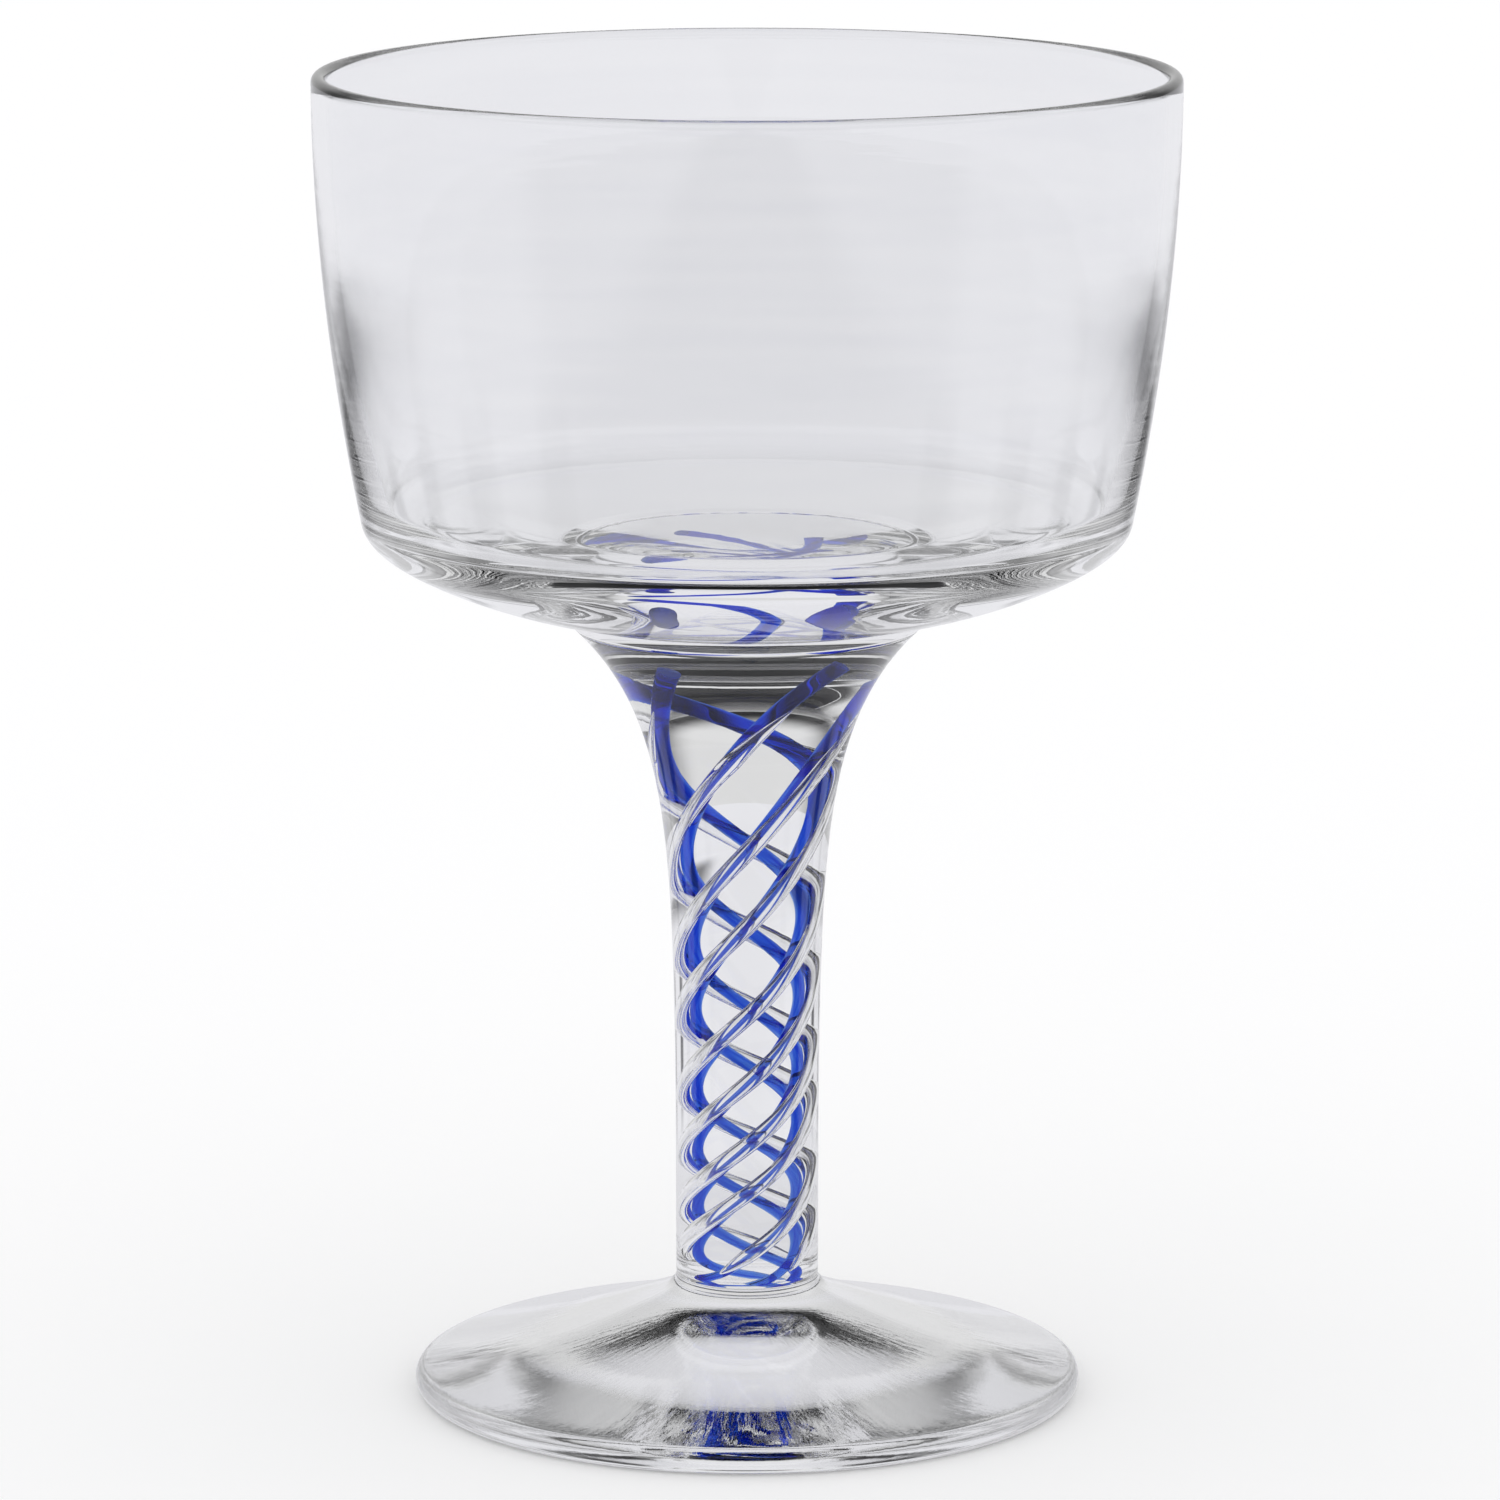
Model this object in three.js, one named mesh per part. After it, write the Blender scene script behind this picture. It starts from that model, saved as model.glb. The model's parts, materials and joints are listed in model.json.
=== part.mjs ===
import * as THREE from 'three';

// Sherbet glass with a colour and air twist stem. Four blue canes lie in the twisted grooves of a
// clear core. A clear casing closes the grooves and traps a thread of air over each cane. The bowl
// and the foot are fused to the ends of the stem. Millimetres, +Z up, standing on z = 0.

// Foot: a low dome with a round edge. It is hollowed out underneath, so it stands on a flat ring.
const FOOT_DIAMETER = 70.4;
const FOOT_HEIGHT = 12.5;
const FOOT_EDGE = 2.9;
const FOOT_NECK_ROUND = 2.8;
const FOOT_NECK_DROP = 2.3;
const FOOT_TOP_SAG = 0.4;
const HOLLOW_HEIGHT = 6.2;
const HOLLOW_DIAMETER = 47;
const HOLLOW_TIP_ROUND = 9.5;
const HOLLOW_EDGE_ROUND = 7.5;
const FOOT_EDGE_START = THREE.MathUtils.degToRad(75);

// Stem: sizes in the straight column, and at its top, where every layer has flared.
const STEM_LENGTH = 69.7;
const FLARE_LENGTH = 10.2;
const CANE_CIRCLE = 6.8;
const CANE_CIRCLE_TOP = 23;
const CANE_DIAMETER = 0.84;
const CANE_DIAMETER_TOP = 2.7;
const AIR_DEPTH = 1.1;
const AIR_DEPTH_TOP = 1.5;
const CASING_WALL = 2.43;
const CASING_WALL_TOP = 3.75;
const CANE_CLEARANCE = 0.18;
const CASING_CLEARANCE = 0.15;

// Twist: one turn takes TOP_PITCH at the bowl and tightens evenly to FOOT_PITCH at the foot. The
// canes were laid by hand, so each has its own angle at the top and its own cut end.
const TOP_PITCH = 81;
const FOOT_PITCH = 22;
const CANES = [
  { angle: 54, cut: 0.6 },
  { angle: 144, cut: 2.8 },
  { angle: 220, cut: 1.2 },
  { angle: 325, cut: 1.4 },
];

// Bowl: a short neck that carries on the stem's flare up to a crease, a thick base that bulges out
// from the crease to a round heel, and a thin, nearly upright wall.
const BOWL_HEIGHT = 57.8;
const RIM_DIAMETER = 89.9;
const RIM_WALL = 1.6;
const WALL_BELLY = 0.54;
const NECK_RISE = 1.4;
const BULGE_DIAMETER = 56.8;
const BULGE_RISE = 3;
const HEEL_DIAMETER = 79.4;
const HEEL_RISE = 8.7;
const HEEL_ROUND_BELOW = 4.9;
const HEEL_ROUND_ABOVE = 2.4;
const HEEL_WALL = 2.4;
const BASE_THICKNESS = 8.9;
const FLOOR_DISH = 1.5;
const FLOOR_ROUND = 4.5;

const FOOT_RADIUS = FOOT_DIAMETER / 2;
const STEM_TOP = FOOT_HEIGHT + STEM_LENGTH;
const RIM_RADIUS = RIM_DIAMETER / 2;
const RIM_HEIGHT = STEM_TOP + BOWL_HEIGHT;

const LATHE_SIDES = 48;
const CURVE_STEPS = 4;
const STEM_STEPS = 48;
const FLARE_STEPS = 10;
const CANE_SIDES = 8;

// The stem's layers all flare together towards the bowl.
function flared(column, top, z) {
  return column + (top - column) * Math.exp((z - STEM_TOP) / FLARE_LENGTH);
}

function caneRadius(z) {
  return flared(CANE_DIAMETER, CANE_DIAMETER_TOP, z) / 2;
}

function caneCircleRadius(z) {
  return flared(CANE_CIRCLE, CANE_CIRCLE_TOP, z) / 2;
}

function coreRadius(z) {
  return caneCircleRadius(z) + caneRadius(z) + flared(AIR_DEPTH, AIR_DEPTH_TOP, z);
}

function boreRadius(z) {
  return coreRadius(z) + CASING_CLEARANCE;
}

function stemRadius(z) {
  return boreRadius(z) + flared(CASING_WALL, CASING_WALL_TOP, z);
}

// Turns per millimetre at a depth below the stem's top, and the turns from the top to that depth.
function twistRate(depth) {
  return 1 / TOP_PITCH + (1 / FOOT_PITCH - 1 / TOP_PITCH) * (depth / STEM_LENGTH);
}

function twistTurns(depth) {
  return depth * (1 / TOP_PITCH + twistRate(depth)) / 2;
}

// Direction of a cane around the axis at a height: the angle at the top is counted from the front.
function caneDirection(cane, z) {
  const degrees = cane.angle - 90 - 360 * twistTurns(STEM_TOP - z);
  return THREE.MathUtils.degToRad(degrees);
}

// A cane climbs at a slant, so a level cut through it is wider around the axis than across it.
function slantStretch(z) {
  return Math.hypot(1, caneCircleRadius(z) * 2 * Math.PI * twistRate(STEM_TOP - z));
}

// Point beside a cane's middle: outward along the radius and sideways around the axis.
function besideCane(cane, z, outward, sideways) {
  const direction = caneDirection(cane, z);
  const radius = caneCircleRadius(z) + outward;
  const x = radius * Math.cos(direction) - sideways * Math.sin(direction);
  const y = radius * Math.sin(direction) + sideways * Math.cos(direction);
  return new THREE.Vector3(x, y, z);
}

// Heights up the stem, closer together towards the foot, where the twist is tighter.
function stemHeights(top) {
  const heights = [];
  for (let i = STEM_STEPS; i >= 0; i -= 1) {
    const step = i / STEM_STEPS;
    heights.push(STEM_TOP - STEM_LENGTH * step * (1.5 - 0.5 * step));
  }
  return heights.filter((z) => z < top - CANE_CLEARANCE).concat(top);
}

// A closed solid through level outlines with equal counts of points, the lowest outline first.
function loft(outlines) {
  const count = outlines[0].length;
  const triangles = [];
  for (let level = 0; level + 1 < outlines.length; level += 1) {
    for (let i = 0; i < count; i += 1) {
      const a = level * count + i;
      const b = level * count + (i + 1) % count;
      triangles.push(a, b, b + count, a, b + count, a + count);
    }
  }
  const topStart = (outlines.length - 1) * count;
  for (const [a, b, c] of THREE.ShapeUtils.triangulateShape(outlines[0], [])) {
    triangles.push(c, b, a);
  }
  for (const [a, b, c] of THREE.ShapeUtils.triangulateShape(outlines.at(-1), [])) {
    triangles.push(topStart + a, topStart + b, topStart + c);
  }
  const geometry = new THREE.BufferGeometry().setFromPoints(outlines.flat());
  geometry.setIndex(triangles);
  geometry.computeVertexNormals();
  return geometry;
}

// A turned solid from a profile of radius and height, which runs up the outside.
function turned(profile) {
  return new THREE.LatheGeometry(profile, LATHE_SIDES).rotateX(Math.PI / 2);
}

function glass(color, opacity) {
  return new THREE.MeshStandardMaterial({
    color,
    opacity,
    transparent: true,
    roughness: 0.03,
    metalness: 0,
  });
}

function piece(name, geometry, material) {
  const mesh = new THREE.Mesh(geometry, material);
  mesh.name = name;
  return mesh;
}

function makeFoot() {
  const edge = FOOT_EDGE / 2;
  const edgeX = FOOT_RADIUS - edge;
  const seat = stemRadius(FOOT_HEIGHT);
  const neck = new THREE.Vector2(seat + FOOT_NECK_ROUND, FOOT_HEIGHT - FOOT_NECK_DROP);
  const rise = new THREE.Vector2(Math.cos(FOOT_EDGE_START), Math.sin(FOOT_EDGE_START));
  const shoulder = new THREE.Vector2(edgeX, edge).addScaledVector(rise, edge);
  const hollowRadius = HOLLOW_DIAMETER / 2;
  const hollowAt = (radius) => HOLLOW_HEIGHT * (1 - radius / hollowRadius);
  const tip = hollowAt(HOLLOW_TIP_ROUND / 2);
  const coneEnd = hollowRadius - HOLLOW_EDGE_ROUND;
  const outline = new THREE.Path();
  outline.moveTo(0, tip);
  outline.quadraticCurveTo(HOLLOW_TIP_ROUND / 2, tip, HOLLOW_TIP_ROUND, hollowAt(HOLLOW_TIP_ROUND));
  outline.lineTo(coneEnd, hollowAt(coneEnd));
  outline.quadraticCurveTo(hollowRadius, 0, hollowRadius + HOLLOW_EDGE_ROUND, 0);
  outline.lineTo(edgeX, 0);
  outline.absarc(edgeX, edge, edge, -Math.PI / 2, FOOT_EDGE_START);
  const middle = shoulder.clone().add(neck).divideScalar(2);
  outline.quadraticCurveTo(middle.x, middle.y - 2 * FOOT_TOP_SAG, neck.x, neck.y);
  outline.quadraticCurveTo(seat, FOOT_HEIGHT - FOOT_NECK_DROP / 2, seat, FOOT_HEIGHT);
  outline.lineTo(0, FOOT_HEIGHT);
  return piece('foot', turned(outline.getPoints(CURVE_STEPS)), glass(0xe8ecf1, 0.3));
}

// The core's level outline: an arc of the round, then a groove with a round floor, for each cane.
function coreOutline(z) {
  const radius = coreRadius(z);
  const reach = caneRadius(z) + CANE_CLEARANCE;
  const halfWidth = reach * slantStretch(z);
  const lip = Math.sqrt(radius * radius - halfWidth * halfWidth) - caneCircleRadius(z);
  const lipAngle = Math.asin(halfWidth / radius);
  const points = [];
  CANES.forEach((cane, index) => {
    points.push(besideCane(cane, z, lip, -halfWidth));
    for (const turn of [-90, -45, 0, 45, 90].map(THREE.MathUtils.degToRad)) {
      points.push(besideCane(cane, z, -reach * Math.cos(turn), halfWidth * Math.sin(turn)));
    }
    points.push(besideCane(cane, z, lip, halfWidth));
    const next = CANES[(index + 1) % CANES.length];
    const around = THREE.MathUtils.euclideanModulo(next.angle - cane.angle, 360);
    const arc = THREE.MathUtils.degToRad(around) - 2 * lipAngle;
    for (const part of [0.25, 0.5, 0.75]) {
      const angle = caneDirection(cane, z) + lipAngle + arc * part;
      points.push(new THREE.Vector3(radius * Math.cos(angle), radius * Math.sin(angle), z));
    }
  });
  return points;
}

function makeCore() {
  return piece('stem_core', loft(stemHeights(STEM_TOP).map(coreOutline)), glass(0xeef1f6, 0.3));
}

function makeCane(cane, index) {
  const outlines = stemHeights(STEM_TOP - cane.cut).map((z) => {
    const points = [];
    for (let i = 0; i < CANE_SIDES; i += 1) {
      const turn = 2 * Math.PI * i / CANE_SIDES;
      const sideways = caneRadius(z) * slantStretch(z) * Math.sin(turn);
      points.push(besideCane(cane, z, caneRadius(z) * Math.cos(turn), sideways));
    }
    return points;
  });
  return piece(`blue_cane_${index + 1}`, loft(outlines), glass(0x1f3fc4, 0.9));
}

// The casing is a tube: up the outside of the flare, then down the bore that the core fills.
function makeCasing() {
  const heights = [];
  for (let i = FLARE_STEPS; i >= 0; i -= 1) {
    heights.push(STEM_TOP - STEM_LENGTH * (i / FLARE_STEPS) ** 2);
  }
  const outside = heights.map((z) => new THREE.Vector2(stemRadius(z), z));
  const bore = heights.map((z) => new THREE.Vector2(boreRadius(z), z)).reverse();
  const profile = [...outside, ...bore, outside[0]];
  return piece('stem_casing', turned(profile), glass(0xeef1f6, 0.25));
}

// Point on the way from one point to another, a set distance from the first.
function towards(from, to, distance) {
  return to.clone().sub(from).setLength(distance).add(from);
}

function makeBowl() {
  const floor = STEM_TOP + BASE_THICKNESS;
  const lip = RIM_WALL / 2;
  const creaseHeight = STEM_TOP + NECK_RISE;
  const bulge = new THREE.Vector2(BULGE_DIAMETER / 2, STEM_TOP + BULGE_RISE);
  const heel = new THREE.Vector2(HEEL_DIAMETER / 2, STEM_TOP + HEEL_RISE);
  const belly = new THREE.Vector2(RIM_RADIUS, heel.y + (RIM_HEIGHT - heel.y) * WALL_BELLY);
  const rim = new THREE.Vector2(RIM_RADIUS, RIM_HEIGHT - lip);
  const heelBelow = towards(heel, bulge, HEEL_ROUND_BELOW);
  const heelAbove = towards(heel, belly, HEEL_ROUND_ABOVE);
  const corner = new THREE.Vector2(heel.x - HEEL_WALL, floor + FLOOR_DISH);
  const bellyInside = new THREE.Vector2(belly.x - RIM_WALL, belly.y);
  const cornerAbove = towards(corner, bellyInside, FLOOR_ROUND);
  const cornerIn = new THREE.Vector2(corner.x - FLOOR_ROUND, corner.y);
  const outline = new THREE.Path();
  outline.moveTo(0, STEM_TOP);
  outline.lineTo(stemRadius(STEM_TOP), STEM_TOP);
  outline.lineTo(stemRadius(creaseHeight), creaseHeight);
  outline.quadraticCurveTo(bulge.x, bulge.y, heelBelow.x, heelBelow.y);
  outline.quadraticCurveTo(heel.x, heel.y, heelAbove.x, heelAbove.y);
  outline.quadraticCurveTo(belly.x, belly.y, rim.x, rim.y);
  outline.absarc(rim.x - lip, rim.y, lip, 0, Math.PI);
  outline.quadraticCurveTo(bellyInside.x, bellyInside.y, cornerAbove.x, cornerAbove.y);
  outline.quadraticCurveTo(corner.x, corner.y, cornerIn.x, cornerIn.y);
  outline.quadraticCurveTo(cornerIn.x / 2, floor, 0, floor);
  return piece('bowl', turned(outline.getPoints(CURVE_STEPS)), glass(0xeef1f6, 0.25));
}

const sherbetGlass = new THREE.Group();
sherbetGlass.add(makeFoot(), makeCore(), ...CANES.map(makeCane), makeCasing(), makeBowl());

export default sherbetGlass;
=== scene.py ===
import json
import math

import bmesh
import bpy
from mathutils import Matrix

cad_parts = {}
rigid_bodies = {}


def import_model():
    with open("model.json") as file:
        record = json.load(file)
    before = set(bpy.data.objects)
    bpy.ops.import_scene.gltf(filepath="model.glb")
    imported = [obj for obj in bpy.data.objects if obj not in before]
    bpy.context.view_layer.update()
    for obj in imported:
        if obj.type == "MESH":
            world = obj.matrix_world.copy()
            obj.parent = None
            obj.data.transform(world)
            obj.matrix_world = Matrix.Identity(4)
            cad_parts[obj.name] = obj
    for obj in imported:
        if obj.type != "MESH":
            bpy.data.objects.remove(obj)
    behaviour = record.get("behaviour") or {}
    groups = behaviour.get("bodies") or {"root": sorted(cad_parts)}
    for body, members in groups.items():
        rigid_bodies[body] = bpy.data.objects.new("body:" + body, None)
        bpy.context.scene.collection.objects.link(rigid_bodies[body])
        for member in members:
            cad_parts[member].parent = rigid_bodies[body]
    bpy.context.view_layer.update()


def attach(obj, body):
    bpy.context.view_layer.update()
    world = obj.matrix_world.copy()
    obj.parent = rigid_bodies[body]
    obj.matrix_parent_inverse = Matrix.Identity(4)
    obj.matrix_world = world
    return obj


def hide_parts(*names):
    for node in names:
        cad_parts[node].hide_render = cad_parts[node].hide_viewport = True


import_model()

# Blue canes: four thin rods of cobalt blue glass. Each was laid in a groove of the soft clear core,
# cut off under the bowl, then twisted and drawn out with the stem, so it thins towards the foot.
mm = 0.001
STEM_FOOT = 12.5 * mm
STEM_TOP = 82.2 * mm
STEM_LENGTH = STEM_TOP - STEM_FOOT
FLARE_LENGTH = 10.2 * mm
TOP_PITCH = 81 * mm
FOOT_PITCH = 22 * mm
STRAND_STEPS = 420
STRAND_SIDES = 20
WANDER_SCALE = 90.0
TIP_SHARE = 0.02
CANE_CIRCLE = (3.4 * mm, 11.5 * mm)
CANE_HALF = (0.42 * mm, 1.35 * mm)
CANE_ANGLES = (54, 144, 220, 325)
CANE_CUTS = (0.6 * mm, 2.8 * mm, 1.2 * mm, 1.4 * mm)
CANE_BENDS = (0, 0, 14, 0)
CANE_CURLS = (70, 90, 60, 80)
CANE_SINK = 0.9 * mm
CANE_TIPS = (0.5 * mm, 0.05 * mm)
CANE_UNEVENNESS = 0.25
CURL_HEIGHT = 0.8 * mm
BEND_HEIGHT = 4 * mm
CUT_DEPTH = 0.7 * mm
COBALT = (0.0, 0.42, 0.95, 1)
COBALT_DENSITY = 3000
COBALT_DARK = (0.12, 0.25, 0.75, 1)
COBALT_CLEAR = (1, 1, 1, 1)
COBALT_MILKY = (0.015, 0.07, 0.95, 1)
COBALT_CUT = (0.12, 0.22, 0.95, 1)
MILKY_SHARE = 0.2
MILKY_SHARE_AT_CUT = 0.5
STREAKS_ACROSS = 1.8
STREAKS_ALONG = 70.0
INDEX_IN_CLEAR = 1.04


class Field:
    """One socket of a node tree. Arithmetic on it adds Math nodes to that tree."""

    def __init__(self, graph, node, output):
        self.graph, self.node, self.socket = graph, node, node.outputs[output]

    def also(self, output):
        return Field(self.graph, self.node, output)

    def math(self, operation, *values):
        return self.graph.add("ShaderNodeMath", {"operation": operation}, dict(enumerate(values)))

    def __add__(self, other):
        return self.math("ADD", self, other)

    def __radd__(self, other):
        return self.math("ADD", other, self)

    def __sub__(self, other):
        return self.math("SUBTRACT", self, other)

    def __rsub__(self, other):
        return self.math("SUBTRACT", other, self)

    def __mul__(self, other):
        return self.math("MULTIPLY", self, other)

    def __rmul__(self, other):
        return self.math("MULTIPLY", other, self)

    def __truediv__(self, other):
        return self.math("DIVIDE", self, other)

    def __pow__(self, other):
        return self.math("POWER", self, other)

    def clamped(self, low, high):
        ranges = {1: low, 2: high, 3: 0.0, 4: 1.0}
        return self.graph.add("ShaderNodeMapRange", {"clamp": True}, {0: self, **ranges})

    def eased(self, low, high):
        ranges = {1: low, 2: high, 3: 0.0, 4: 1.0}
        settings = {"clamp": True, "interpolation_type": "SMOOTHSTEP"}
        return self.graph.add("ShaderNodeMapRange", settings, {0: self, **ranges})


class Graph:
    """A node tree being wired. add() makes a node: its settings first, then its sockets."""

    def __init__(self, tree):
        self.tree = tree
        self.tree.nodes.clear()

    def add(self, kind, settings=None, sockets=None, output=0):
        node = self.tree.nodes.new(kind)
        for name, value in (settings or {}).items():
            setattr(node, name, value)
        for name, value in (sockets or {}).items():
            if isinstance(value, Field):
                self.tree.links.new(value.socket, node.inputs[name])
            else:
                node.inputs[name].default_value = value
        return Field(self, node, output) if node.outputs else None

    def blend(self, factor, first, second):
        settings = {"data_type": "RGBA"}
        return self.add("ShaderNodeMix", settings, {0: factor, 6: first, 7: second}, output=2)


def new_material(name):
    material = bpy.data.materials.new(name)
    material.use_nodes = True
    return material, Graph(material.node_tree)


def strand_tree(name, hollow):
    """A strand that follows the stem's twist and flare. A hollow one is a thread of air."""
    tree = bpy.data.node_groups.new(name, "GeometryNodeTree")
    graph = Graph(tree)
    sizes = ("Angle", "Lead At Top", "Lead At Foot", "Bend", "Curl", "Circle", "Circle At Top",
             "Half Depth", "Half Depth At Top", "Width Ratio", "Low End", "High End", "Low Tip",
             "High Tip", "Unevenness", "Seed")
    for size in sizes:
        tree.interface.new_socket(size, in_out="INPUT", socket_type="NodeSocketFloat")
    tree.interface.new_socket("Material", in_out="INPUT", socket_type="NodeSocketMaterial")
    tree.interface.new_socket("Strand", in_out="OUTPUT", socket_type="NodeSocketGeometry")
    given = graph.add("NodeGroupInput")
    size = {name: given.also(name) for name in sizes}

    start = graph.add("ShaderNodeCombineXYZ", None, {"Z": size["Low End"]})
    end = graph.add("ShaderNodeCombineXYZ", None, {"Z": size["High End"]})
    line = graph.add("GeometryNodeCurvePrimitiveLine", None, {"Start": start, "End": end})
    path = graph.add("GeometryNodeResampleCurve", None, {"Curve": line, "Count": STRAND_STEPS})
    position = graph.add("GeometryNodeInputPosition")
    height = graph.add("ShaderNodeSeparateXYZ", None, {0: position}, output="Z")

    depth = STEM_TOP - height
    flare = height.math("EXPONENT", (height - STEM_TOP) / FLARE_LENGTH)
    drift = graph.add("ShaderNodeCombineXYZ", None, {0: size["Seed"], 1: height * WANDER_SCALE})
    sockets = {"Vector": drift, "Scale": 1.0, "Detail": 1.0}
    wander = graph.add("ShaderNodeTexNoise", {"noise_dimensions": "2D"}, sockets) - 0.5
    lead = size["Lead At Top"] + (size["Lead At Foot"] - size["Lead At Top"]) * depth / STEM_LENGTH
    tightening = (1 / FOOT_PITCH - 1 / TOP_PITCH) / (2 * STEM_LENGTH)
    turns = depth * (1 / TOP_PITCH) + depth * depth * tightening
    bend = size["Bend"] * height.math("EXPONENT", (height - STEM_TOP) / BEND_HEIGHT)
    curl = size["Curl"] * height.math("EXPONENT", (size["Low End"] - height) / CURL_HEIGHT)
    degrees = size["Angle"] + lead + bend - curl - 90.0 - 360.0 * turns
    turn = degrees.math("RADIANS", degrees)
    circle = size["Circle"] + (size["Circle At Top"] - size["Circle"]) * flare
    around = {"X": circle * turn.math("COSINE", turn), "Y": circle * turn.math("SINE", turn), "Z": height}
    place = graph.add("ShaderNodeCombineXYZ", None, around)
    helix = graph.add("GeometryNodeSetPosition", None, {"Geometry": path, "Position": place})
    helix = graph.add("GeometryNodeSetCurveNormal", {"mode": "Z_UP"}, {"Curve": helix})
    sockets = {"Geometry": helix, "Name": "to_cut", "Value": size["High End"] - height}
    helix = graph.add("GeometryNodeStoreNamedAttribute", None, sockets)

    half = size["Half Depth"] + (size["Half Depth At Top"] - size["Half Depth"]) * flare
    low_tip = ((height - size["Low End"]) / size["Low Tip"]).clamped(0.0004, 1.0)
    high_tip = ((size["High End"] - height) / size["High Tip"]).clamped(0.0004, 1.0)
    low_tip = (low_tip * (1 - TIP_SHARE) + TIP_SHARE) ** 0.6
    high_tip = (high_tip * (1 - TIP_SHARE) + TIP_SHARE) ** 0.7
    scale = half * low_tip * high_tip * (1.0 + size["Unevenness"] * wander)
    ring = graph.add("GeometryNodeCurvePrimitiveCircle", None, {"Resolution": STRAND_SIDES, "Radius": 1.0})
    sockets = {"Geometry": ring, "Name": "round", "Value": position}
    ring = graph.add("GeometryNodeStoreNamedAttribute", {"data_type": "FLOAT_VECTOR"}, sockets)
    stretch = graph.add("ShaderNodeCombineXYZ", None, {"X": 1.0, "Y": size["Width Ratio"], "Z": 1.0})
    ring = graph.add("GeometryNodeTransform", None, {"Geometry": ring, "Scale": stretch})
    sockets = {"Curve": helix, "Profile Curve": ring, "Scale": scale, "Fill Caps": True}
    body = graph.add("GeometryNodeCurveToMesh", None, sockets)
    if hollow:
        body = graph.add("GeometryNodeFlipFaces", None, {"Mesh": body})
    body = graph.add("GeometryNodeSetShadeSmooth", None, {"Geometry": body})
    body = graph.add("GeometryNodeRealizeInstances", None, {"Geometry": body})
    sockets = {"Geometry": body, "Material": given.also("Material")}
    body = graph.add("GeometryNodeSetMaterial", None, sockets)
    graph.add("NodeGroupOutput", None, {"Strand": body})
    return tree


def grown_mesh(name, tree, base, **sizes):
    """The plain mesh that a node tree grows from a base mesh."""
    holder = bpy.data.objects.new(name, base)
    bpy.context.scene.collection.objects.link(holder)
    modifier = holder.modifiers.new(name, "NODES")
    modifier.node_group = tree
    for socket in tree.interface.items_tree:
        if socket.in_out == "INPUT" and socket.socket_type != "NodeSocketGeometry":
            modifier[socket.identifier] = sizes[socket.name.lower().replace(" ", "_")]
    evaluated = holder.evaluated_get(bpy.context.evaluated_depsgraph_get())
    mesh = bpy.data.meshes.new_from_object(evaluated)
    bpy.data.objects.remove(holder)
    return mesh


def strand_mesh(name, tree, **sizes):
    """One strand as a plain mesh."""
    start = bpy.data.meshes.new("start")
    mesh = grown_mesh(name, tree, start, **sizes)
    bpy.data.meshes.remove(start)
    mesh.name = name
    return mesh


def place_piece(name, mesh, slot, *nodes):
    """Puts a finished mesh in the scene on the root body and hides the solids that it stands for."""
    piece = bpy.data.objects.new(name, mesh)
    bpy.context.scene.collection.objects.link(piece)
    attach(piece, "root")
    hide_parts(*nodes)
    return piece


cobalt, graph = new_material("cobalt_cane")
spot = graph.add("ShaderNodeTexCoord", output="Object")
height = graph.add("ShaderNodeSeparateXYZ", None, {0: spot}, output="Z")
side = graph.add("ShaderNodeAttribute", {"attribute_name": "round"}, output="Vector")
side = graph.add("ShaderNodeSeparateXYZ", None, {0: side})
across, deep = side * STREAKS_ACROSS, side.also("Y") * STREAKS_ACROSS
drawn = graph.add("ShaderNodeCombineXYZ", None, {0: across, 1: deep, 2: height * STREAKS_ALONG})
streak = graph.add("ShaderNodeTexNoise", None, {"Vector": drawn, "Scale": 1.0, "Detail": 3.0})
to_cut = graph.add("ShaderNodeAttribute", {"attribute_name": "to_cut"}, output="Fac")
colour = graph.blend(streak.eased(0.38, 0.6), COBALT_DARK, COBALT_CLEAR)
clear = graph.add("ShaderNodeBsdfPrincipled", None, {
    "Base Color": colour, "Roughness": 0.0, "IOR": INDEX_IN_CLEAR, "Transmission Weight": 1.0})
near_cut = 1.0 - to_cut.eased(0.0, CUT_DEPTH)
colour = graph.blend(near_cut, COBALT_MILKY, COBALT_CUT)
milky = graph.add("ShaderNodeBsdfPrincipled", None, {
    "Base Color": colour, "Roughness": 0.4, "IOR": INDEX_IN_CLEAR})
milkiness = MILKY_SHARE * streak + MILKY_SHARE_AT_CUT * near_cut
skin = graph.add("ShaderNodeMixShader", None, {0: milkiness, 1: clear, 2: milky})
dye = graph.add("ShaderNodeVolumeAbsorption", None, {"Color": COBALT, "Density": COBALT_DENSITY})
graph.add("ShaderNodeOutputMaterial", None, {"Surface": skin, "Volume": dye})

cane_tree = strand_tree("drawn cane", hollow=False)
canes = zip(CANE_ANGLES, CANE_CUTS, CANE_BENDS, CANE_CURLS)
for number, (angle, cut, bend, curl) in enumerate(canes, start=1):
    mesh = strand_mesh(
        f"blue_cane_{number}_glass", cane_tree, angle=float(angle), lead_at_top=0.0, lead_at_foot=0.0,
        bend=float(bend), curl=float(curl), circle=CANE_CIRCLE[0], circle_at_top=CANE_CIRCLE[1],
        half_depth=CANE_HALF[0], half_depth_at_top=CANE_HALF[1], width_ratio=1.0,
        low_end=STEM_FOOT - CANE_SINK, high_end=STEM_TOP - cut, low_tip=CANE_TIPS[0],
        high_tip=CANE_TIPS[1], unevenness=CANE_UNEVENNESS, seed=3.0 * number, material=cobalt)
    place_piece(f"blue_cane_{number}_glass", mesh, "blue_glass", f"blue_cane_{number}")

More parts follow.
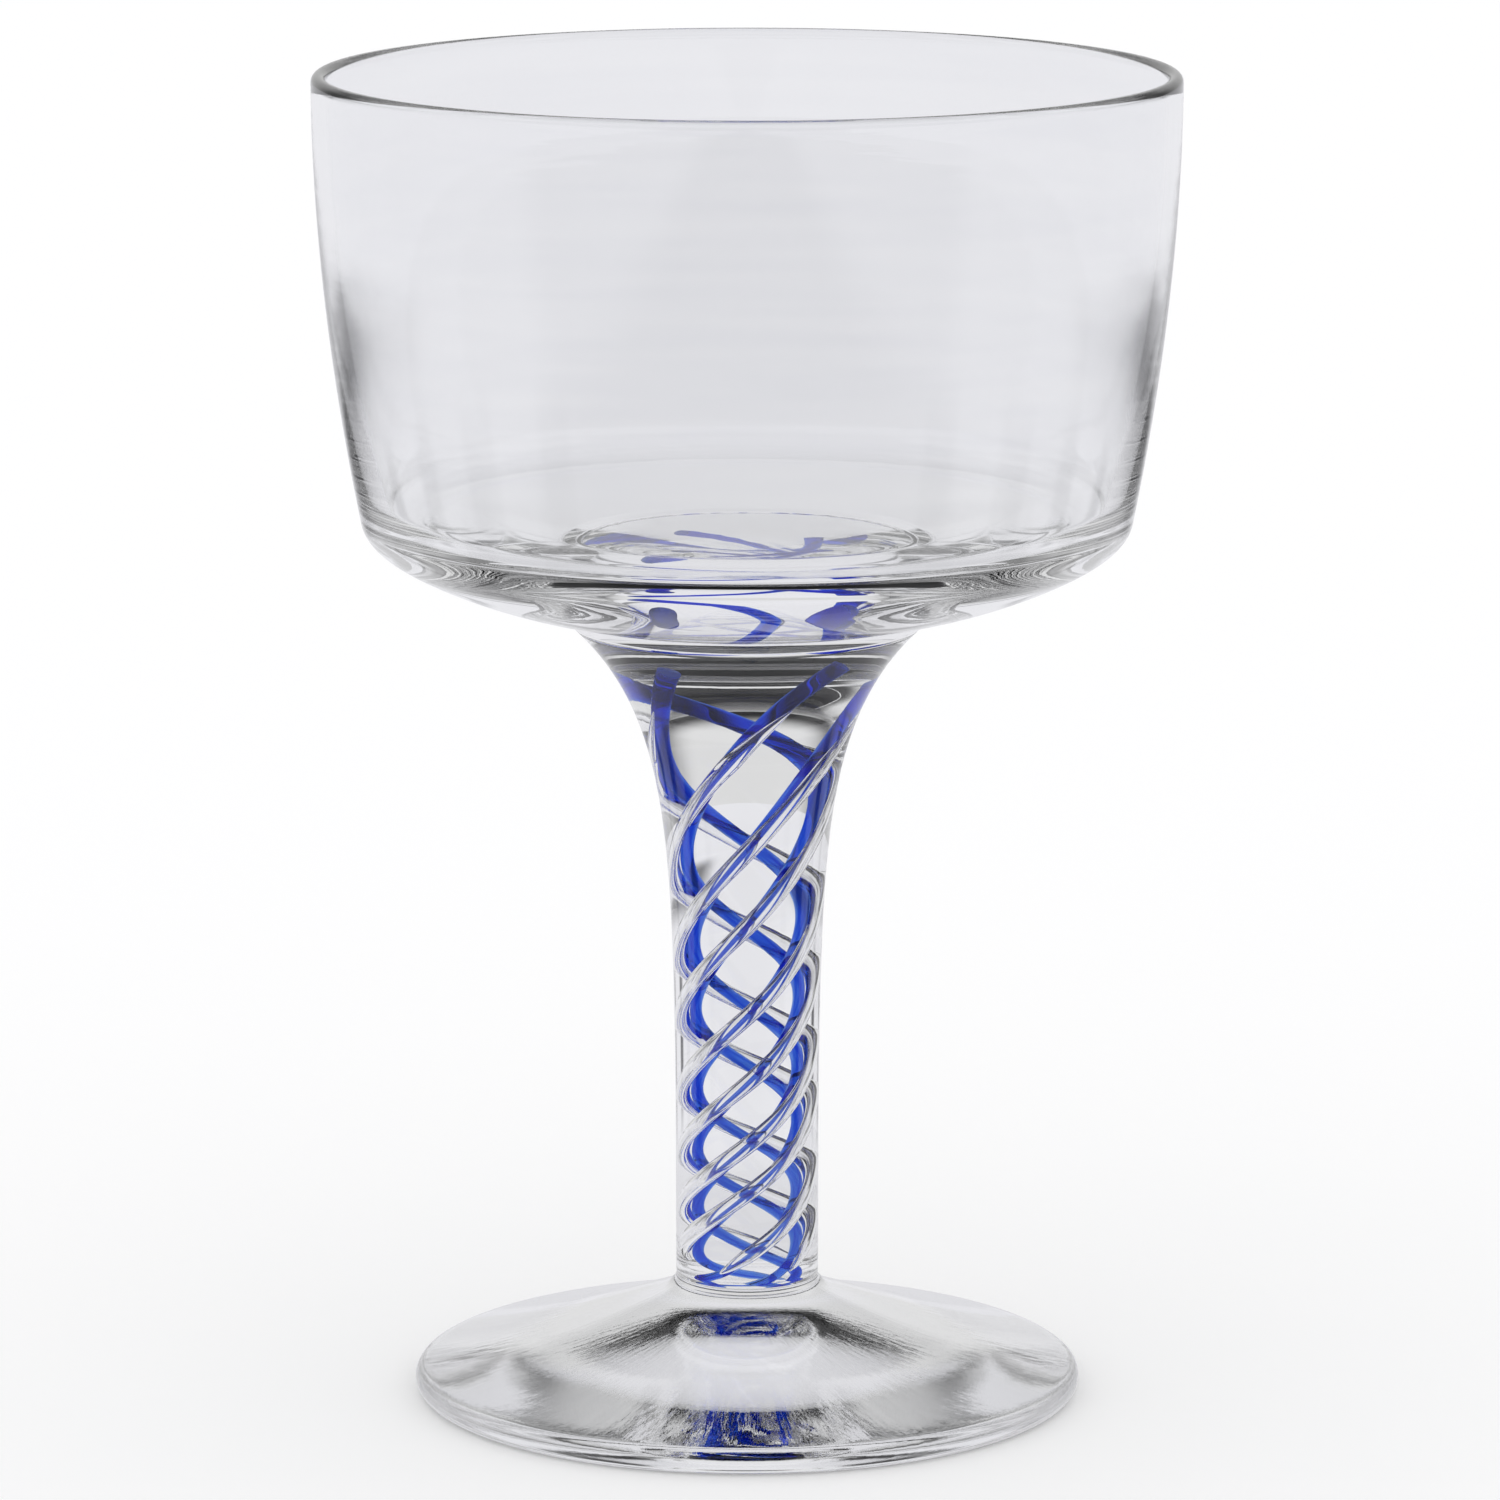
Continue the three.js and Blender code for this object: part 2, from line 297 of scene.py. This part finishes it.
# Stem: one clear column, the core and the casing over it, fused so that no seam shows. Each groove
# that the casing closed holds a thread of air beside its cane. It was drawn out and twisted hot.
COLUMN_RADIUS = 7.5 * mm
FLARE_RADIUS = 18.25 * mm
AIR_CIRCLE = (4.38 * mm, 13.6 * mm)
AIR_HALF = (0.54 * mm, 0.75 * mm)
AIR_WIDTH = 1.5
AIR_TOPS = (75.5 * mm, 74.3 * mm, 75.1 * mm, 74.8 * mm)
AIR_LEAD = 8.0
AIR_START = 0.9 * mm
AIR_TIPS = (2.0 * mm, 6.0 * mm)
AIR_UNEVENNESS = 0.5
BUBBLES_FROM = 76 * mm
BUBBLE_DENSITY = 350000
BUBBLE_RADII = (0.08 * mm, 0.24 * mm)
STEM_RINGS = 130
AROUND = 256
SHARP_EDGE = 40
CLEAR = (0.985, 0.987, 0.99, 1)
CLEAR_DEEP = (0.965, 0.968, 0.975, 1)
CLEAR_INDEX = 1.5
WAVE_DEPTH = 0.2 * mm
STEM_WAVES = 0.05


def stem_radius(z):
    return COLUMN_RADIUS + (FLARE_RADIUS - COLUMN_RADIUS) * math.exp((z - STEM_TOP) / FLARE_LENGTH)


def turned_mesh(name, profile, material, joints):
    """A turned body from radius and height pairs that run up its outside. The named steps of the
    profile are joints, where the glass is fused to the next piece."""
    body = bmesh.new()
    rings = []
    for radius, z in profile:
        if radius < 1e-9:
            rings.append([body.verts.new((0, 0, z))] * AROUND)
            continue
        turns = [2 * math.pi * step / AROUND for step in range(AROUND)]
        rings.append([body.verts.new((radius * math.cos(a), radius * math.sin(a), z)) for a in turns])
    for step, (low, high) in enumerate(zip(rings, rings[1:])):
        for a in range(AROUND):
            b = (a + 1) % AROUND
            corners = dict.fromkeys((low[a], low[b], high[b], high[a]))
            face = body.faces.new(corners)
            face.smooth = True
            face.material_index = int(step in joints)
    for edge in body.edges:
        edge.smooth = edge.calc_face_angle(0.0) < math.radians(SHARP_EDGE)
    mesh = bpy.data.meshes.new(name)
    body.to_mesh(mesh)
    body.free()
    mesh.materials.append(material)
    mesh.materials.append(fused_joint)
    return mesh


def clear_skin(graph, grain, strength, depth):
    """Clear glass. Its tint and its waves follow a grain that the work left in it."""
    colour = graph.blend(grain.eased(0.3, 0.75), CLEAR, CLEAR_DEEP)
    wave = graph.add("ShaderNodeBump", None, {"Strength": strength, "Distance": depth, "Height": grain})
    skin = graph.add("ShaderNodeBsdfPrincipled", None, {
        "Base Color": colour, "Roughness": 0.0, "IOR": CLEAR_INDEX, "Transmission Weight": 1.0,
        "Normal": wave})
    graph.add("ShaderNodeOutputMaterial", None, {"Surface": skin})


def bubble_tree():
    """Tiny bubbles of air, caught on the upper end of a cane."""
    tree = bpy.data.node_groups.new("caught bubbles", "GeometryNodeTree")
    graph = Graph(tree)
    tree.interface.new_socket("Cane", in_out="INPUT", socket_type="NodeSocketGeometry")
    for size in ("Lowest", "Density", "Smallest", "Largest"):
        tree.interface.new_socket(size, in_out="INPUT", socket_type="NodeSocketFloat")
    tree.interface.new_socket("Seed", in_out="INPUT", socket_type="NodeSocketInt")
    tree.interface.new_socket("Material", in_out="INPUT", socket_type="NodeSocketMaterial")
    tree.interface.new_socket("Bubbles", in_out="OUTPUT", socket_type="NodeSocketGeometry")
    cane = graph.add("NodeGroupInput")
    position = graph.add("GeometryNodeInputPosition")
    height = graph.add("ShaderNodeSeparateXYZ", None, {0: position}, output="Z")
    chosen = height.math("GREATER_THAN", height, cane.also("Lowest"))
    sockets = {"Mesh": cane, "Selection": chosen, "Density": cane.also("Density"), "Seed": cane.also("Seed")}
    points = graph.add("GeometryNodeDistributePointsOnFaces", None, sockets)
    sockets = {2: cane.also("Smallest"), 3: cane.also("Largest"), 8: cane.also("Seed")}
    radius = graph.add("FunctionNodeRandomValue", None, sockets, output=1)
    offset = graph.add("ShaderNodeVectorMath", {"operation": "SCALE"}, {0: points.also("Normal"), 3: radius})
    points = graph.add("GeometryNodeSetPosition", None, {"Geometry": points, "Offset": offset})
    ball = graph.add("GeometryNodeMeshIcoSphere", None, {"Radius": 1.0, "Subdivisions": 3})
    sockets = {"Points": points, "Instance": ball, "Scale": radius}
    body = graph.add("GeometryNodeInstanceOnPoints", None, sockets)
    body = graph.add("GeometryNodeRealizeInstances", None, {"Geometry": body})
    body = graph.add("GeometryNodeFlipFaces", None, {"Mesh": body})
    body = graph.add("GeometryNodeSetShadeSmooth", None, {"Geometry": body})
    sockets = {"Geometry": body, "Material": cane.also("Material")}
    body = graph.add("GeometryNodeSetMaterial", None, sockets)
    graph.add("NodeGroupOutput", None, {"Bubbles": body})
    return tree


fused_joint, graph = new_material("fused_joint")
skin = graph.add("ShaderNodeBsdfPrincipled", None, {"Base Color": CLEAR, "Alpha": 0.0})
graph.add("ShaderNodeOutputMaterial", None, {"Surface": skin})

stem_glass, graph = new_material("drawn_stem_glass")
spot = graph.add("ShaderNodeTexCoord", output="Object")
drawn = graph.add("ShaderNodeMapping", None, {"Vector": spot, "Scale": (420, 420, 40)})
cord = graph.add("ShaderNodeTexNoise", None, {"Vector": drawn, "Scale": 1.0, "Detail": 2.0})
clear_skin(graph, cord, STEM_WAVES, WAVE_DEPTH)

steps = [STEM_FOOT + STEM_LENGTH * step / STEM_RINGS for step in range(STEM_RINGS + 1)]
profile = [(0, STEM_FOOT), *((stem_radius(z), z) for z in steps), (0, STEM_TOP)]
stem_mesh = turned_mesh("stem_glass", profile, stem_glass, joints={0, len(profile) - 2})
stem_body = bmesh.new()
stem_body.from_mesh(stem_mesh)
air_tree = strand_tree("air thread", hollow=True)
for number, (angle, top) in enumerate(zip(CANE_ANGLES, AIR_TOPS), start=1):
    thread = strand_mesh(
        f"air_thread_{number}", air_tree, angle=float(angle), lead_at_top=AIR_LEAD,
        lead_at_foot=-AIR_LEAD, bend=0.0, curl=0.0, circle=AIR_CIRCLE[0], circle_at_top=AIR_CIRCLE[1],
        half_depth=AIR_HALF[0], half_depth_at_top=AIR_HALF[1], width_ratio=AIR_WIDTH,
        low_end=STEM_FOOT + AIR_START, high_end=top, low_tip=AIR_TIPS[0], high_tip=AIR_TIPS[1],
        unevenness=AIR_UNEVENNESS, seed=7.0 * number, material=stem_glass)
    stem_body.from_mesh(thread)
    bpy.data.meshes.remove(thread)
caught_tree = bubble_tree()
for number in range(1, len(CANE_ANGLES) + 1):
    caught = grown_mesh(
        f"bubbles_{number}", caught_tree, bpy.data.objects[f"blue_cane_{number}_glass"].data,
        lowest=BUBBLES_FROM, density=float(BUBBLE_DENSITY), smallest=BUBBLE_RADII[0],
        largest=BUBBLE_RADII[1], seed=number, material=stem_glass)
    stem_body.from_mesh(caught)
    bpy.data.meshes.remove(caught)
stem_body.to_mesh(stem_mesh)
stem_body.free()
place_piece("stem_glass", stem_mesh, "clear_glass", "stem_core", "stem_casing")

# Bowl: blown clear glass with a thick base that bulges out to a round heel, and a thin wall that leans
# out to a fire-polished lip. Its base was pressed hot onto the flared top of the stem.
CREASE = 83.6 * mm
UNDERSIDE = (28.4 * mm, 85.2 * mm)
HEEL = (39.7 * mm, 90.9 * mm)
HEEL_ROUND = (4.9 * mm, 2.4 * mm)
BELLY = (44.95 * mm, 117.5 * mm)
RIM = (44.95 * mm, 139.2 * mm)
LIP = 0.8 * mm
FLOOR = 91.1 * mm
FLOOR_EDGE = (37.3 * mm, 92.6 * mm)
FLOOR_ROUND = 4.5 * mm
BOWL_WAVES = 0.03


def bent(start, corner, end, steps):
    """Points of a smooth bend from start to end that leans towards a corner, without its start."""
    points = []
    for step in range(1, steps + 1):
        t = step / steps
        weights = ((1 - t) ** 2, 2 * t * (1 - t), t ** 2)
        along = zip(start, corner, end)
        points.append(tuple(sum(w * p for w, p in zip(weights, places)) for places in along))
    return points


def towards(start, end, distance):
    share = distance / math.dist(start, end)
    return tuple(a + (b - a) * share for a, b in zip(start, end))


def rounded(centre, radius, start, end, steps):
    """Points of an arc between two angles in degrees, with both ends."""
    angles = [math.radians(start + (end - start) * step / steps) for step in range(steps + 1)]
    return [(centre[0] + radius * math.cos(a), centre[1] + radius * math.sin(a)) for a in angles]


bowl_glass, graph = new_material("blown_bowl_glass")
spot = graph.add("ShaderNodeTexCoord", output="Object")
spun = graph.add("ShaderNodeMapping", None, {"Vector": spot, "Scale": (25, 25, 420)})
ring = graph.add("ShaderNodeTexNoise", None, {"Vector": spun, "Scale": 1.0, "Detail": 3.0})
clear_skin(graph, ring, BOWL_WAVES, WAVE_DEPTH)

crease_steps = [STEM_TOP + (CREASE - STEM_TOP) * step / 6 for step in range(7)]
crease = (stem_radius(CREASE), CREASE)
heel_below = towards(HEEL, UNDERSIDE, HEEL_ROUND[0])
heel_above = towards(HEEL, BELLY, HEEL_ROUND[1])
belly_inside = (BELLY[0] - 2 * LIP, BELLY[1])
rim_inside = (RIM[0] - 2 * LIP, RIM[1])
wall_foot = towards(FLOOR_EDGE, belly_inside, FLOOR_ROUND)
floor_end = (FLOOR_EDGE[0] - FLOOR_ROUND, FLOOR_EDGE[1])
profile = [(0, STEM_TOP), *((stem_radius(z), z) for z in crease_steps)]
profile += bent(crease, UNDERSIDE, heel_below, 40)
profile += bent(heel_below, HEEL, heel_above, 24)
profile += bent(heel_above, BELLY, RIM, 44)
profile += rounded((RIM[0] - LIP, RIM[1]), LIP, 0, 180, 14)[1:]
profile += bent(rim_inside, belly_inside, wall_foot, 44)
profile += bent(wall_foot, FLOOR_EDGE, floor_end, 24)
profile += bent(floor_end, (floor_end[0] / 2, FLOOR), (0, FLOOR), 30)
mesh = turned_mesh("bowl_glass", profile, bowl_glass, joints={0})
place_piece("bowl_glass", mesh, "clear_glass", "bowl")

# Foot: a gather of clear glass pressed and spun to a low dome with a round edge. It is hollowed
# out underneath in a smooth kick, so it stands on a ring. The stem is fused on.
FOOT_RADIUS = 35.2 * mm
EDGE = 1.45 * mm
EDGE_START = 75
NECK = (10.3 * mm, 10.2 * mm)
NECK_ROUND = 1.15 * mm
TOP_SAG = 0.4 * mm
HOLLOW_HEIGHT = 6.2 * mm
HOLLOW_RADIUS = 23.5 * mm
HOLLOW_TIP = 9.5 * mm
HOLLOW_EDGE = 7.5 * mm
STREAK_DEPTH = 0.012 * mm
STREAKS_AROUND = 26.0
STREAKS_OUTWARD = 160.0

foot_glass, graph = new_material("spun_foot_glass")
spot = graph.add("ShaderNodeTexCoord", output="Object")
x = graph.add("ShaderNodeSeparateXYZ", None, {0: spot})
y = x.also("Y")
reach = (x * x + y * y) ** 0.5 + 0.001
around = {0: x / reach * STREAKS_AROUND, 1: y / reach * STREAKS_AROUND, 2: reach * STREAKS_OUTWARD}
spun = graph.add("ShaderNodeCombineXYZ", None, around)
streak = graph.add("ShaderNodeTexNoise", None, {"Vector": spun, "Scale": 1.0, "Detail": 3.0})
clear_skin(graph, streak, 1.0, STREAK_DEPTH)


def hollow_at(radius):
    return (radius, HOLLOW_HEIGHT * (1 - radius / HOLLOW_RADIUS))


edge_middle = (FOOT_RADIUS - EDGE, EDGE)
tip = (0, hollow_at(HOLLOW_TIP / 2)[1])
cone_top = hollow_at(HOLLOW_TIP)
cone_end = hollow_at(HOLLOW_RADIUS - HOLLOW_EDGE)
ring_inside = (HOLLOW_RADIUS + HOLLOW_EDGE, 0)
profile = [tip]
profile += bent(tip, (HOLLOW_TIP / 2, tip[1]), cone_top, 16)
cone_length = math.dist(cone_top, cone_end)
profile += [towards(cone_top, cone_end, cone_length * step / 24) for step in range(1, 25)]
profile += bent(cone_end, (HOLLOW_RADIUS, 0), ring_inside, 20)
profile += rounded(edge_middle, EDGE, -90, EDGE_START, 20)
shoulder = profile[-1]
middle = ((shoulder[0] + NECK[0]) / 2, (shoulder[1] + NECK[1]) / 2 - 2 * TOP_SAG)
profile += bent(shoulder, middle, NECK, 40)
stem_end = (stem_radius(STEM_FOOT), STEM_FOOT)
profile += bent(NECK, (stem_end[0], STEM_FOOT - NECK_ROUND), stem_end, 14)
profile.append((0, STEM_FOOT))
mesh = turned_mesh("foot_glass", profile, foot_glass, joints={len(profile) - 2})
place_piece("foot_glass", mesh, "clear_glass", "foot")

# Table top and light: a wide pale table in plain soft light, with a little glow added for the camera.
# Reflected in the glass or seen through it, the table is instead a glowing sheet with painted shade: shaded
# sides, a shaded front, a painted shadow round the foot and painted dark strips, none of which the camera
# sees. The room has a pale backdrop, a tall soft light at each side and one above the camera. The rest of
# that room is dark, which draws the dark lines in clear glass.
TABLE_HALF = 6.0
TABLE_DROP = 0.05 * mm
PALE = (0.8, 0.8, 0.805, 1)
GLOW = 0.2
SHEET = (0.835, 0.835, 0.865, 1)
SHADE = (0.05, 0.05, 0.055, 1)
# Painted shade on the glowing sheet that the glass sees: its sides, its front, a shadow round the foot, and
# dark strips.
PAINTED_SIDE_SHADE = 0.8
SIDE_ASIDE = (0.17, 0.45, 0.05)
SIDE_REACH = (0.37, 0.57, 0.05)
SIDE_BEHIND = (0.02, 0.12)
PAINTED_FRONT_SHADE = 0.85
FRONT_KEPT_THROUGH = 0.25
FRONT_ASIDE = (0.15, 0.3)
FRONT_BEFORE = (-0.16, -0.06)
PAINTED_FOOT_SHADOW = 0.15
FOOT_SHADOW_REACH = (0.037, 0.1, 0.02)
PAINTED_STRIP_DARKNESS = 0.9
STRIP_TURNS = ((50, 56), (70, 78), (92, 104), (120, 130))
STRIP_SOFTNESS = 2
STRIP_ASIDE = (0.08, 0.13)
STRIP_REACH = (0.22, 0.32)
BACKDROP = 0.75
BACKDROP_TOP = (17, 26)
BACKDROP_SIDES = (20, 50)
LOW_SIDES = 0.5
LOW_SIDES_TOP = (8, 18)
LOW_SIDES_SWING = (45, 115, 8)
SIDE_LIGHTS = 0.75
SIDE_LIGHTS_RISE = (18, 45, 6)
SIDE_LIGHTS_SWING = (45, 118, 8)
FRONT_LIGHT = 0.4
FRONT_LIGHT_RISE = (22, 40, 5)
FRONT_LIGHT_SWING = (110, 126)
CAMERA_PLACE = (0.0003, -0.81807, 0.22868)
CAMERA_DIP = 11.06
CAMERA_LENS = 190.94
CAMERA_SENSOR = 36
BOUNCES = 64


def below(field, low, high):
    """One up to the first value, falling to zero at the second."""
    return 1.0 - field.eased(low, high)


def within(field, low, high, soft):
    """One between two values, zero beyond them, with soft ends."""
    return field.eased(low - soft, low + soft) * below(field, high - soft, high + soft)


table_top, graph = new_material("pale_table_top")
matt = graph.add("ShaderNodeBsdfDiffuse", None, {"Color": PALE})
seen = graph.add("ShaderNodeLightPath", output="Is Camera Ray")
glow = graph.add("ShaderNodeEmission", None, {"Color": seen * GLOW, "Strength": 1.0})
lit = graph.add("ShaderNodeAddShader", None, {0: matt, 1: glow})
spot = graph.add("ShaderNodeTexCoord", output="Object")
x = graph.add("ShaderNodeSeparateXYZ", None, {0: spot})
y = x.also("Y")
aside = x.math("ABSOLUTE", x)
reach = (x * x + y * y) ** 0.5
turn = x.math("ABSOLUTE", x.math("DEGREES", x.math("ARCTAN2", x, y)))
# Painted shade on the sheet at the sides behind the glass.
sides = PAINTED_SIDE_SHADE * within(aside, *SIDE_ASIDE) * y.eased(*SIDE_BEHIND) * within(reach, *SIDE_REACH)
mirrored = 1.0 - (1 - FRONT_KEPT_THROUGH) * seen.also("Is Transmission Ray")
# Painted shade on the sheet in front, full in reflections and a quarter of it seen through the glass.
front = PAINTED_FRONT_SHADE * mirrored * below(aside, *FRONT_ASIDE) * below(y, *FRONT_BEFORE)
# The painted shades add up, with a painted shadow round the foot.
shades = sides + front + PAINTED_FOOT_SHADOW * within(reach, *FOOT_SHADOW_REACH)
# Dark strips painted on the sheet at the sides.
strips = PAINTED_STRIP_DARKNESS * sum(within(turn, *ends, STRIP_SOFTNESS) for ends in STRIP_TURNS)
strips = strips * aside.eased(*STRIP_ASIDE) * below(reach, *STRIP_REACH)
sheet = graph.blend(shades.math("MAXIMUM", shades, strips), SHEET, SHADE)
# The glass sees the table as this glowing sheet with its painted shade, not as the lit table.
plain = graph.add("ShaderNodeEmission", None, {"Color": sheet, "Strength": 1.0})
through = seen.math("MAXIMUM", seen.also("Is Glossy Ray"), seen.also("Is Transmission Ray"))
shown = graph.add("ShaderNodeMixShader", None, {0: through, 1: lit, 2: plain})
graph.add("ShaderNodeOutputMaterial", None, {"Surface": shown})
table_top.cycles.emission_sampling = "NONE"
table_mesh = bpy.data.meshes.new("table_top")
signs = ((-1, -1), (1, -1), (1, 1), (-1, 1))
corners = [(across * TABLE_HALF, along * TABLE_HALF, -TABLE_DROP) for across, along in signs]
table_mesh.from_pydata(corners, [], [(0, 1, 2, 3)])
table_mesh.materials.append(table_top)
table = bpy.data.objects.new("table_top", table_mesh)
bpy.context.scene.collection.objects.link(table)

room = bpy.data.worlds.new("soft_room")
room.use_nodes = True
bpy.context.scene.world = room
graph = Graph(room.node_tree)
sight = graph.add("ShaderNodeTexCoord", output="Generated")
right = graph.add("ShaderNodeSeparateXYZ", None, {0: sight})
ahead, up = right.also("Y"), right.also("Z")
rise = up.math("DEGREES", up.math("ARCSINE", up))
swing = up.math("ABSOLUTE", up.math("DEGREES", up.math("ARCTAN2", right, ahead)))
backdrop = BACKDROP * below(rise, *BACKDROP_TOP) * below(swing, *BACKDROP_SIDES)
low_sides = LOW_SIDES * below(rise, *LOW_SIDES_TOP) * within(swing, *LOW_SIDES_SWING)
side_lights = SIDE_LIGHTS * within(rise, *SIDE_LIGHTS_RISE) * within(swing, *SIDE_LIGHTS_SWING)
front_light = FRONT_LIGHT * within(rise, *FRONT_LIGHT_RISE) * swing.eased(*FRONT_LIGHT_SWING)
brightness = backdrop + low_sides + side_lights + front_light
path = graph.add("ShaderNodeLightPath", output="Is Glossy Ray")
through = path.math("MAXIMUM", path, path.also("Is Transmission Ray"))
strength = 1.0 + through * (brightness - 1.0)
sky = graph.add("ShaderNodeBackground", None, {"Color": strength, "Strength": 1.0})
graph.add("ShaderNodeOutputWorld", None, {"Surface": sky})

lens = bpy.data.cameras.new("camera")
lens.sensor_width = CAMERA_SENSOR
lens.lens = CAMERA_LENS
camera = bpy.data.objects.new("camera", lens)
camera.location = CAMERA_PLACE
camera.rotation_euler = (math.radians(90 - CAMERA_DIP), 0, 0)
scene = bpy.context.scene
scene.collection.objects.link(camera)
scene.camera = camera
scene.view_settings.view_transform = "Standard"
scene.cycles.max_bounces = BOUNCES
scene.cycles.transmission_bounces = BOUNCES
scene.cycles.glossy_bounces = BOUNCES
scene.cycles.transparent_max_bounces = BOUNCES // 2
